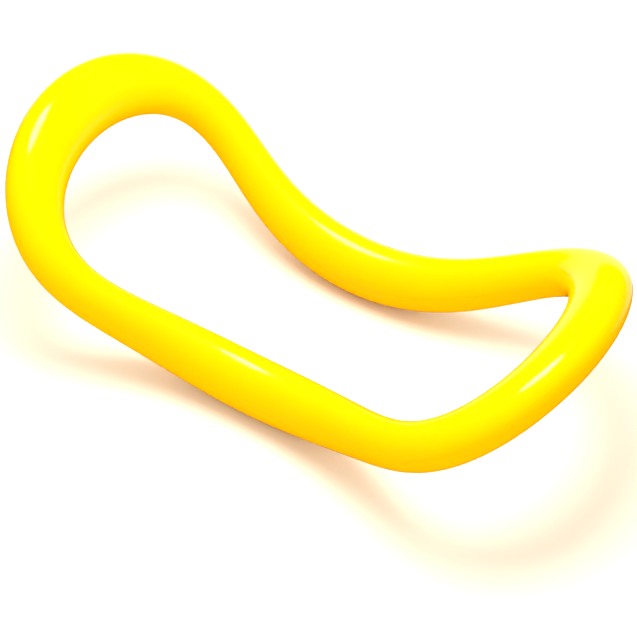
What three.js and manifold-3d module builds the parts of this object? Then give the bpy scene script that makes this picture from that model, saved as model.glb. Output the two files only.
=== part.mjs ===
// A hand-held stretching ring: one closed loop of hollow plastic tube, pinched in at the waist
// and bent up at both ends like a saddle. It is moulded in two halves, an upper and a lower
// shell, that meet on a parting surface through the middle of the tube all the way round.
// A lip and a row of pegs on the lower shell locate in a rebate and in sockets in the upper one.
//
// Millimetres. +X runs along the loop, +Y across it and +Z up from the floor it stands on.
// The origin is on the floor under the middle of the loop.

import * as THREE from "three";
import { ParametricGeometry } from "three/addons/geometries/ParametricGeometry.js";
import { mergeVertices } from "three/addons/utils/BufferGeometryUtils.js";
import Module from "manifold-3d";

// Centreline of the tube, seen from above
const endReach = 106.3; // middle of the loop to the tube's centre at an end
const waistReach = 37.9; // middle of the loop to the tube's centre at the waist
const shoulderFlare = 19.9; // swells the loop on both sides of the waist
const shoulderTurn = 2.9; // moves the widest places towards the ends
const endFlat = 3.6; // squares off the ends
const endTurn = 2.0; // tightens the corners of the ends

// Centreline of the tube, seen from the side: a hyperbola
const saddleRise = 52.8; // the ends above the limbs
const saddleBend = 220; // how far the bend spreads: the larger, the rounder the ends

// Section of the tube, an ellipse, at three places: in the middle of an end, at a shoulder
// (an eighth of a turn on) and in the middle of a limb
const halfWidths = { end: 13.4, shoulder: 8.2, limb: 10.2 };
const halfHeights = { end: 9.0, shoulder: 9.4, limb: 12.0 };
const endTwist = THREE.MathUtils.degToRad(4); // turns the wide section at the ends further up

// Shells
const wall = 3.0;
const partingGap = 0.3; // between the two shells everywhere
const lipHeight = 1.5; // the lower shell's lip, above the parting surface
const lipThickness = 1.5;

// Inside the tube
const ribCount = 16;
const ribThickness = 1.6;
const ribClearance = 0.6; // from the ribs to the parting surface and to the lip
const bite = 0.8; // how far ribs, pegs and bosses run into the wall
const ribsPerPeg = 2;
const pegRadius = 1.6;
const pegHeight = 3.2; // above the parting surface
const bossRadius = 3.3;

// Facets
const stations = 72; // round the loop
const outerSteps = 11; // round half a section; odd, so that a level facet lies underneath
const innerSteps = 6;
const pegSides = 12;

const plastic = { color: 0xffd000, roughness: 0.2, metalness: 0 };

const fullTurn = 2 * Math.PI;

// The value at an angle of a size that is given at an end, a shoulder and a limb.
function roundTheLoop({ end, shoulder, limb }, angle) {
  const level = (end + limb) / 4 + shoulder / 2;
  const lean = (end - limb) / 2;
  const swell = (end + limb) / 4 - shoulder / 2;
  return level + lean * Math.cos(2 * angle) + swell * Math.cos(4 * angle);
}

// The tube at one place: its centre, its axes and its half sizes. Angle 0 is the middle of the
// +X end and a quarter turn is the middle of the +Y limb.
function tubeAt(angle) {
  const [c1, c3, c5] = [1, 3, 5].map((n) => Math.cos(n * angle));
  const [s1, s3, s5] = [1, 3, 5].map((n) => Math.sin(n * angle));
  const x = endReach * c1 + endFlat * (c3 - c1) + endTurn * (c5 - c1);
  const y = waistReach * s1 + shoulderFlare * (s3 + s1) + shoulderTurn * (s5 - s1);
  const steepness = saddleRise / (Math.hypot(saddleBend, endReach) - saddleBend);
  const z = steepness * (Math.hypot(saddleBend, x) - saddleBend);
  const slope = (steepness * x) / Math.hypot(saddleBend, x);

  const dx = endReach * s1 + endFlat * (3 * s3 - s1) + endTurn * (5 * s5 - s1);
  const dy = waistReach * c1 + shoulderFlare * (3 * c3 + c1) + shoulderTurn * (5 * c5 - c1);
  const along = new THREE.Vector3(-dx, dy, -slope * dx).normalize();
  const saddleUp = new THREE.Vector3(-slope, 0, 1).normalize();
  const across = new THREE.Vector3()
    .crossVectors(along, saddleUp)
    .applyAxisAngle(along, -endTwist * c1 ** 4);
  return {
    centre: new THREE.Vector3(x, y, z),
    across,
    up: new THREE.Vector3().crossVectors(across, along),
    along,
    halfWidth: roundTheLoop(halfWidths, angle),
    halfHeight: roundTheLoop(halfHeights, angle),
  };
}

// Points on an ellipse about the tube's centre, as [across, up] pairs.
function arc(halfWidth, halfHeight, from, to, steps) {
  return Array.from({ length: steps + 1 }, (_, i) => {
    const angle = THREE.MathUtils.lerp(from, to, i / steps);
    return [halfWidth * Math.cos(angle), halfHeight * Math.sin(angle)];
  });
}

// The lower shell's section: outer wall, rim with the lip on its inner half, inner wall.
function lowerSection({ halfWidth, halfHeight }) {
  const rim = -partingGap / 2;
  const start = Math.asin(rim / halfHeight);
  const lipFoot = halfWidth - wall + lipThickness;
  const inside = halfWidth - wall;
  return [
    ...arc(halfWidth, halfHeight, -Math.PI - start, start, outerSteps),
    [lipFoot, rim],
    [lipFoot, lipHeight],
    [inside, lipHeight],
    ...arc(inside, halfHeight - wall, 0, -Math.PI, innerSteps),
    [-inside, lipHeight],
    [-lipFoot, lipHeight],
    [-lipFoot, rim],
  ];
}

// The upper shell's section: outer wall, rim with the rebate on its inner half, inner wall.
function upperSection({ halfWidth, halfHeight }) {
  const rim = partingGap / 2;
  const start = Math.asin(rim / halfHeight);
  const rebateSide = halfWidth - wall + lipThickness + partingGap;
  const rebateTop = lipHeight + partingGap;
  const inside = halfWidth - wall;
  const innerStart = Math.asin(rebateTop / (halfHeight - wall));
  return [
    ...arc(halfWidth, halfHeight, start, Math.PI - start, outerSteps),
    [-rebateSide, rim],
    [-rebateSide, rebateTop],
    ...arc(inside, halfHeight - wall, Math.PI - innerStart, innerStart, innerSteps),
    [rebateSide, rebateTop],
    [rebateSide, rim],
  ];
}

const wasm = await Module();
wasm.setup();

function toSolid(geometry) {
  const bare = geometry.clone();
  bare.deleteAttribute("normal");
  bare.deleteAttribute("uv");
  const merged = mergeVertices(bare, 1e-3);
  return new wasm.Manifold(
    new wasm.Mesh({
      numProp: 3,
      vertProperties: merged.attributes.position.array,
      triVerts: new Uint32Array(merged.index.array),
    }),
  );
}

function toGeometry(solid) {
  const { vertProperties, triVerts } = solid.getMesh();
  const geometry = new THREE.BufferGeometry();
  geometry.setAttribute("position", new THREE.BufferAttribute(vertProperties, 3));
  geometry.setIndex(new THREE.BufferAttribute(triVerts, 1));
  geometry.computeVertexNormals();
  return geometry;
}

// Carries a closed section round the loop. The stations lie evenly to both sides of the middle
// of each limb and of each end, so that a level facet lies under each limb.
function sweep(section) {
  const sections = Array.from({ length: stations }, (_, i) => {
    const tube = tubeAt(((i + 0.5) / stations) * fullTurn);
    return section(tube).map(([side, rise]) =>
      tube.centre.clone().addScaledVector(tube.across, side).addScaledVector(tube.up, rise),
    );
  });
  const sides = sections[0].length;
  const point = (u, v, target) => {
    const points = sections[Math.round(u * stations) % stations];
    target.copy(points[Math.round(v * sides) % sides]);
  };
  return toSolid(new ParametricGeometry(point, stations, sides));
}

// Puts a geometry, made about the tube's centre with +X across and +Y up, at a place on the loop.
function placeAt(tube, geometry) {
  const axes = new THREE.Matrix4().makeBasis(tube.across, tube.up, tube.along.clone().negate());
  return toSolid(geometry.applyMatrix4(axes.setPosition(tube.centre)));
}

// A cross rib that fills one half of the tube, from near the parting surface to inside the wall.
function rib(tube, isUpper) {
  const halfWidth = tube.halfWidth - wall + bite;
  const halfHeight = tube.halfHeight - wall + bite;
  const edge = isUpper ? lipHeight + ribClearance : -ribClearance;
  const start = Math.asin(edge / halfHeight);
  const end = isUpper ? Math.PI - start : -Math.PI - start;
  const outline = arc(halfWidth, halfHeight, start, end, innerSteps);
  const shape = new THREE.Shape(outline.map(([side, rise]) => new THREE.Vector2(side, rise)));
  const plate = new THREE.ExtrudeGeometry(shape, { depth: ribThickness, bevelEnabled: false });
  return placeAt(tube, plate.translate(0, 0, -ribThickness / 2));
}

// An upright round bar between two heights at the middle of the tube.
function post(tube, radius, from, to) {
  const bar = new THREE.CylinderGeometry(radius, radius, to - from, pegSides);
  return placeAt(tube, bar.translate(0, (from + to) / 2, 0));
}

function makeLowerShell() {
  let shell = sweep(lowerSection);
  for (let i = 0; i < ribCount; i++) {
    const tube = tubeAt((i / ribCount) * fullTurn);
    shell = shell.add(rib(tube, false));
    if (i % ribsPerPeg === 0) {
      shell = shell.add(post(tube, pegRadius, wall - bite - tube.halfHeight, pegHeight));
    }
  }
  return shell;
}

function makeUpperShell() {
  let shell = sweep(upperSection);
  for (let i = 0; i < ribCount; i++) {
    const tube = tubeAt((i / ribCount) * fullTurn);
    shell = shell.add(rib(tube, true));
    if (i % ribsPerPeg === 0) {
      const roof = tube.halfHeight - wall + bite;
      shell = shell
        .add(post(tube, bossRadius, ribClearance, roof))
        .subtract(post(tube, pegRadius + partingGap, 0, pegHeight + partingGap));
    }
  }
  return shell;
}

function makeMesh(name, solid) {
  const mesh = new THREE.Mesh(toGeometry(solid), new THREE.MeshStandardMaterial(plastic));
  mesh.name = name;
  return mesh;
}

const ring = new THREE.Group();
ring.add(makeMesh("lower_shell", makeLowerShell()));
ring.add(makeMesh("upper_shell", makeUpperShell()));
ring.position.z = -new THREE.Box3().setFromObject(ring).min.z; // stands it on the floor

export default ring;
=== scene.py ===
# A stretching ring: a saddle-shaped loop of glossy yellow plastic tube, moulded in two halves
import math

import bmesh
import bpy
from mathutils import Matrix, Vector


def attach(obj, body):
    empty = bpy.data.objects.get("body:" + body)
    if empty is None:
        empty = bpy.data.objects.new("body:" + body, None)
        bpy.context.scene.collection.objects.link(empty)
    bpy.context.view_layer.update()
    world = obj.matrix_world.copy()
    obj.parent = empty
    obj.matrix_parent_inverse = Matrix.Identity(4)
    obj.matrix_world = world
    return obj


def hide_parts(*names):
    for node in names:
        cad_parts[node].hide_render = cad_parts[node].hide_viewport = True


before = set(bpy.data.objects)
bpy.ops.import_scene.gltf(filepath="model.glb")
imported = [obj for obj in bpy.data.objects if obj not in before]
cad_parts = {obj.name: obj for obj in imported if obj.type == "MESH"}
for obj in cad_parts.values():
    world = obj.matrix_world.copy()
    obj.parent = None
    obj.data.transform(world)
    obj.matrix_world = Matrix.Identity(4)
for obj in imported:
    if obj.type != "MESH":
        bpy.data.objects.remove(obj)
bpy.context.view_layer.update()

mm = 0.001
scene = bpy.context.scene


# a wrapped socket does sums, and Shader.add makes any other node
class Wire:
    def __init__(self, shader, socket):
        self.shader = shader
        self.socket = socket

    def maths(self, operation, other, swapped=False):
        a, b = (other, self) if swapped else (self, other)
        return self.shader.add("ShaderNodeMath", {"operation": operation}, {0: a, 1: b})

    def __add__(self, other):
        return self.maths("ADD", other)

    def __sub__(self, other):
        return self.maths("SUBTRACT", other)

    def __rsub__(self, other):
        return self.maths("SUBTRACT", other, swapped=True)

    def __mul__(self, other):
        return self.maths("MULTIPLY", other)

    __radd__ = __add__
    __rmul__ = __mul__


class Shader:
    def __init__(self, name):
        self.material = bpy.data.materials.new(name)
        self.material.use_nodes = True
        self.nodes = self.material.node_tree.nodes
        self.nodes.clear()

    def add(self, kind, settings=None, inputs=None, output=0):
        node = self.nodes.new(kind)
        for key, value in (settings or {}).items():
            if key == "stops":
                self.setStops(node.color_ramp, value)
            else:
                setattr(node, key, value)
        for key, value in (inputs or {}).items():
            socket = self.find(node.inputs, key)
            if isinstance(value, Wire):
                self.material.node_tree.links.new(value.socket, socket)
            else:
                socket.default_value = value
        return Wire(self, self.find(node.outputs, output)) if len(node.outputs) else None

    def find(self, sockets, key):  # by number, or the one in use of that name
        if isinstance(key, int):
            return sockets[key]
        return next(socket for socket in sockets if socket.name == key and socket.enabled)

    def setStops(self, ramp, stops):
        while len(ramp.elements) < len(stops):
            ramp.elements.new(0.5)
        for element, (place, shade) in zip(ramp.elements, stops):
            element.position = place
            element.color = (shade, shade, shade, 1)

    def finish(self, surface):
        self.add("ShaderNodeOutputMaterial", {}, {"Surface": surface})
        return self.material


# the tube: its centreline and its elliptical section, in millimetres
tube = {
    "endReach": 106.3,  # middle of the loop to the tube's centre at an end
    "waistReach": 37.9,  # and to its centre at the waist
    "shoulderFlare": 19.9,  # how far the shoulders stand out past the waist
    "shoulderTurn": 2.9,  # how tightly they turn
    "endFlat": 3.6,  # how flat the ends are
    "endTurn": 2.0,
    "saddleRise": 52.8,  # the ends above the limbs
    "saddleBend": 220.0,  # larger is more like a parabola, smaller more like a V
    "halfWidths": (13.4, 8.2, 10.2),  # at an end, a shoulder and the middle of a limb
    "halfHeights": (9.0, 9.4, 12.0),
    "endTwist": 4.0,  # degrees that the section leans at the ends
}


def roundTheLoop(sizes, angle):
    end, shoulder, limb = sizes
    level = (end + limb) / 4 + shoulder / 2
    swell = (end + limb) / 4 - shoulder / 2
    return level + (end - limb) / 2 * math.cos(2 * angle) + swell * math.cos(4 * angle)


def tubeAt(angle):
    # centre, across, up and along the tube, and its half sizes, in metres
    c1, c3, c5 = (math.cos(n * angle) for n in (1, 3, 5))
    s1, s3, s5 = (math.sin(n * angle) for n in (1, 3, 5))
    reach, flat, turn = tube["endReach"], tube["endFlat"], tube["endTurn"]
    waist, flare, widest = tube["waistReach"], tube["shoulderFlare"], tube["shoulderTurn"]
    bend = tube["saddleBend"]
    x = reach * c1 + flat * (c3 - c1) + turn * (c5 - c1)
    y = waist * s1 + flare * (s3 + s1) + widest * (s5 - s1)
    steepness = tube["saddleRise"] / (math.hypot(bend, reach) - bend)
    z = steepness * (math.hypot(bend, x) - bend) + tube["halfHeights"][2]
    slope = steepness * x / math.hypot(bend, x)
    dx = -reach * s1 - flat * (3 * s3 - s1) - turn * (5 * s5 - s1)
    dy = waist * c1 + flare * (3 * c3 + c1) + widest * (5 * c5 - c1)
    along = Vector((dx, dy, slope * dx)).normalized()
    across = along.cross(Vector((-slope, 0, 1)).normalized())
    across.rotate(Matrix.Rotation(-math.radians(tube["endTwist"]) * c1 ** 4, 3, along))
    return {
        "centre": Vector((x, y, z)) * mm,
        "across": across,
        "up": across.cross(along),
        "along": along,
        "halfWidth": roundTheLoop(tube["halfWidths"], angle) * mm,
        "halfHeight": roundTheLoop(tube["halfHeights"], angle) * mm,
    }


def sectionMatrix(place):
    # carries a unit circle in X and Y to the tube's section
    columns = (
        place["across"] * place["halfWidth"],
        place["up"] * place["halfHeight"],
        place["along"] * -mm,  # any length does, the circle is flat
        place["centre"],
    )
    matrix = Matrix.Identity(4)
    for i, column in enumerate(columns):
        for j in range(3):
            matrix[j][i] = column[j]
    return matrix


shell = {
    "stations": 320,  # round the loop
    "sectionSteps": 72,  # round the whole section
    "wall": 3.0,
    "seam": 0.0012,  # from the middle plane to the rim, as a share of the half height
    "rimBand": 0.05,  # a second cut farther out, which keeps the shading of the rim narrow
    "rimRounding": 0.05,  # millimetres, like the wall
    "rimSteps": 3,
    "sharpAngle": 1.0,  # radians, only the edges of the rim turn more
    "cutTolerance": 1e-6,
}


def makeHalf(name, side):
    # side is 1 for the upper half and -1 for the lower one
    bm = bmesh.new()
    bmesh.ops.create_circle(bm, segments=shell["sectionSteps"], radius=1)
    for height, clear in ((shell["seam"], True), (shell["rimBand"], False)):
        bmesh.ops.bisect_plane(
            bm,
            geom=bm.verts[:] + bm.edges[:],
            dist=shell["cutTolerance"],
            plane_co=(0, side * height, 0),
            plane_no=(0, -side, 0),
            clear_outer=clear,
        )
    stations = shell["stations"]
    places = [sectionMatrix(tubeAt(math.tau * k / stations)) for k in range(stations)]
    bmesh.ops.transform(bm, matrix=places[0], verts=bm.verts)
    first = bm.edges[:]
    rim = first
    for k in range(1, stations):  # carry the section round the loop
        made = bmesh.ops.extrude_edge_only(bm, edges=rim)["geom"]
        verts = [g for g in made if isinstance(g, bmesh.types.BMVert)]
        fresh = set(verts)
        rim = [g for g in made if isinstance(g, bmesh.types.BMEdge) and fresh.issuperset(g.verts)]
        bmesh.ops.transform(bm, matrix=places[k] @ places[k - 1].inverted(), verts=verts)
    bmesh.ops.bridge_loops(bm, edges=first + rim)  # close the loop
    bmesh.ops.recalc_face_normals(bm, faces=bm.faces)
    bmesh.ops.solidify(bm, geom=bm.faces[:], thickness=shell["wall"] * mm)
    sharp = [
        edge for edge in bm.edges
        if len(edge.link_faces) == 2 and edge.calc_face_angle() > shell["sharpAngle"]
    ]
    bmesh.ops.bevel(
        bm,
        geom=sharp,
        offset=shell["rimRounding"] * mm,
        affect="EDGES",
        segments=shell["rimSteps"],
        profile=0.5,
        material=-1,
    )
    bmesh.ops.recalc_face_normals(bm, faces=bm.faces)
    mesh = bpy.data.meshes.new(name)
    bm.to_mesh(mesh)
    bm.free()
    mesh.polygons.foreach_set("use_smooth", [True] * len(mesh.polygons))
    piece = bpy.data.objects.new(name, mesh)
    scene.collection.objects.link(piece)
    print(name, len(mesh.vertices), "verts", len(mesh.polygons), "faces")
    return piece


plastic = {
    "colour": (1.0, 0.49, 0.0, 1),
    "deepColour": (1.0, 0.46, 0.0, 1),  # where the pigment is a little denser
    "mottleScale": 45,  # features per metre
    "roughness": 0.07,
    "smudgeScale": 38,
    "smudgeStops": [(0.42, 0), (0.68, 1)],
    "smudgeRoughness": 0.07,  # added where it has been handled
    "scratchScale": (70, 1400, 1400),  # long in X, narrow in Y and Z
    "scratchStops": [(0.66, 0), (0.7, 1)],
    "scratchRoughness": 0.1,
    "scratchDepth": 0.003,  # millimetres, like the two heights
    "waveScale": 60,  # slow waves left by the mould
    "waveHeight": 0.014,
    "peelScale": 800,  # fine orange peel
    "peelHeight": 0.0012,
    "refraction": 1.53,
    "gloss": 0.09,  # well under 0.5, so the sides keep their deep yellow
    "glossTint": (1.0, 0.85, 0.3, 1),
}


def makePlastic():
    s = Shader("yellowPlastic")
    place = s.add("ShaderNodeTexCoord", output="Object")

    def noise(scale, detail, vector=place):
        return s.add("ShaderNodeTexNoise", {}, {"Vector": vector, "Scale": scale, "Detail": detail})

    mottle = noise(plastic["mottleScale"], 3)
    handled = s.add(
        "ShaderNodeValToRGB",
        {"stops": plastic["smudgeStops"]},
        {"Fac": noise(plastic["smudgeScale"], 5)},
    )
    stretched = s.add(
        "ShaderNodeVectorMath",
        {"operation": "MULTIPLY"},
        {0: place, 1: plastic["scratchScale"]},
    )
    scratch = s.add(
        "ShaderNodeValToRGB",
        {"stops": plastic["scratchStops"]},
        {"Fac": noise(1, 2, stretched)},
    )
    roughness = (
        plastic["roughness"]
        + handled * plastic["smudgeRoughness"]
        + scratch * plastic["scratchRoughness"]
    )
    height = (
        noise(plastic["waveScale"], 1) * plastic["waveHeight"]
        + noise(plastic["peelScale"], 2) * plastic["peelHeight"]
        - scratch * plastic["scratchDepth"]
    )
    colour = s.add("ShaderNodeMix", {"data_type": "RGBA"}, {
        "Factor": mottle,
        "A": plastic["colour"],
        "B": plastic["deepColour"],
    }, output="Result")
    normal = s.add("ShaderNodeBump", {}, {"Distance": mm, "Height": height})
    surface = s.add("ShaderNodeBsdfPrincipled", {}, {
        "Base Color": colour,
        "Roughness": roughness,
        "Normal": normal,
        "IOR": plastic["refraction"],
        "Specular IOR Level": plastic["gloss"],
        "Specular Tint": plastic["glossTint"],
    })
    return s.finish(surface)


yellow = makePlastic()
print("plastic made")
for name, side, node in (("upperHalf", 1, "upper_shell"), ("lowerHalf", -1, "lower_shell")):
    half = makeHalf(name, side)
    half.data.materials.append(yellow)
    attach(half, "root")
    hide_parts(node)
print("both halves ride on the root")

studio = {
    "floorSize": 6.0,  # metres, like all the places and sizes here
    "floorColour": (0.755, 0.73, 0.64, 1),
    "floorRoughness": 0.9,
    "skyColour": (1.0, 0.96, 0.9, 1),
    "skyStrength": 1.36,
    "ringMiddle": (0, 0, 0.03),  # what the panel and the glint point at
    "panelPlace": (-0.035, 0.016, 0.433),  # the soft light above the ring
    "panelSize": (0.17, 0.32),
    "panelTurn": 24,  # degrees about its own beam
    "panelPower": 1.8,  # watts
    "glintPlace": (-0.2, 0.13, 0.65),  # the lamp that shows as streaks in the gloss
    "glintSize": (0.22, 0.27),
    "glintTurn": 0,
    "glintPower": 19,
    "cardPlace": (-0.2, 0.6, 0.002),  # pale card behind the ring, seen only in the gloss
    "cardSize": (1.5, 1.05),
    "cardTurn": 0,
    "cardPower": 4.5,
}


def turnTo(right, up, back):
    return Matrix((right, up, back)).transposed().to_4x4()


def makeFloor():
    bm = bmesh.new()
    bmesh.ops.create_grid(bm, x_segments=1, y_segments=1, size=studio["floorSize"] / 2)
    mesh = bpy.data.meshes.new("floor")
    bm.to_mesh(mesh)
    bm.free()
    floor = bpy.data.objects.new("floor", mesh)
    scene.collection.objects.link(floor)
    s = Shader("floorPaper")
    surface = s.add("ShaderNodeBsdfPrincipled", {}, {
        "Base Color": studio["floorColour"],
        "Roughness": studio["floorRoughness"],
    })
    mesh.materials.append(s.finish(surface))
    floor.visible_glossy = False  # the card takes its place there


def makeLight(name, aim, forShading):
    # a light either shades the ring or shows in its gloss, so each can be set alone
    data = bpy.data.lights.new(name, "AREA")
    data.shape = "ELLIPSE"
    data.size, data.size_y = studio[name + "Size"]
    data.energy = studio[name + "Power"]
    light = bpy.data.objects.new(name, data)
    place = Vector(studio[name + "Place"])
    turn = math.radians(studio[name + "Turn"])
    back = (place - aim).normalized()
    side = Vector((math.sin(turn), math.cos(turn), 0)).cross(back).normalized()
    light.matrix_world = Matrix.Translation(place) @ turnTo(side, back.cross(side), back)
    light.visible_camera = False
    light.visible_diffuse = forShading
    light.visible_glossy = not forShading
    scene.collection.objects.link(light)


makeFloor()
ringMiddle = Vector(studio["ringMiddle"])
makeLight("panel", ringMiddle, True)
makeLight("glint", ringMiddle, False)
makeLight("card", Vector(studio["cardPlace"]) + Vector((0, 0, 1)), False)
world = bpy.data.worlds.new("studio")
world.use_nodes = True
sky = world.node_tree.nodes["Background"]
sky.inputs["Color"].default_value = studio["skyColour"]
sky.inputs["Strength"].default_value = studio["skyStrength"]
scene.world = world
world.cycles_visibility.glossy = False
scene.view_settings.view_transform = "Standard"
print("floor, sky and lights made")

lens = {
    "azimuth": 28.17,  # degrees, from the front towards +X
    "elevation": 45.68,
    "roll": 4.51,
    "aim": (0.01195, -0.0139, 0.0335),
    "distance": 0.8213,
    "length": 127.44,  # millimetres
    "sensor": 36,
}


def makeCamera():
    a, e, r = (math.radians(lens[k]) for k in ("azimuth", "elevation", "roll"))
    back = Vector((math.sin(a) * math.cos(e), -math.cos(a) * math.cos(e), math.sin(e)))
    level = Vector((math.cos(a), math.sin(a), 0))
    rise = back.cross(level)
    right = level * math.cos(r) + rise * math.sin(r)
    up = rise * math.cos(r) - level * math.sin(r)
    data = bpy.data.cameras.new("camera")
    data.lens = lens["length"]
    data.sensor_width = lens["sensor"]
    camera = bpy.data.objects.new("camera", data)
    place = Vector(lens["aim"]) + back * lens["distance"]
    camera.matrix_world = Matrix.Translation(place) @ turnTo(right, up, back)
    scene.collection.objects.link(camera)
    scene.camera = camera


makeCamera()
print("camera made")
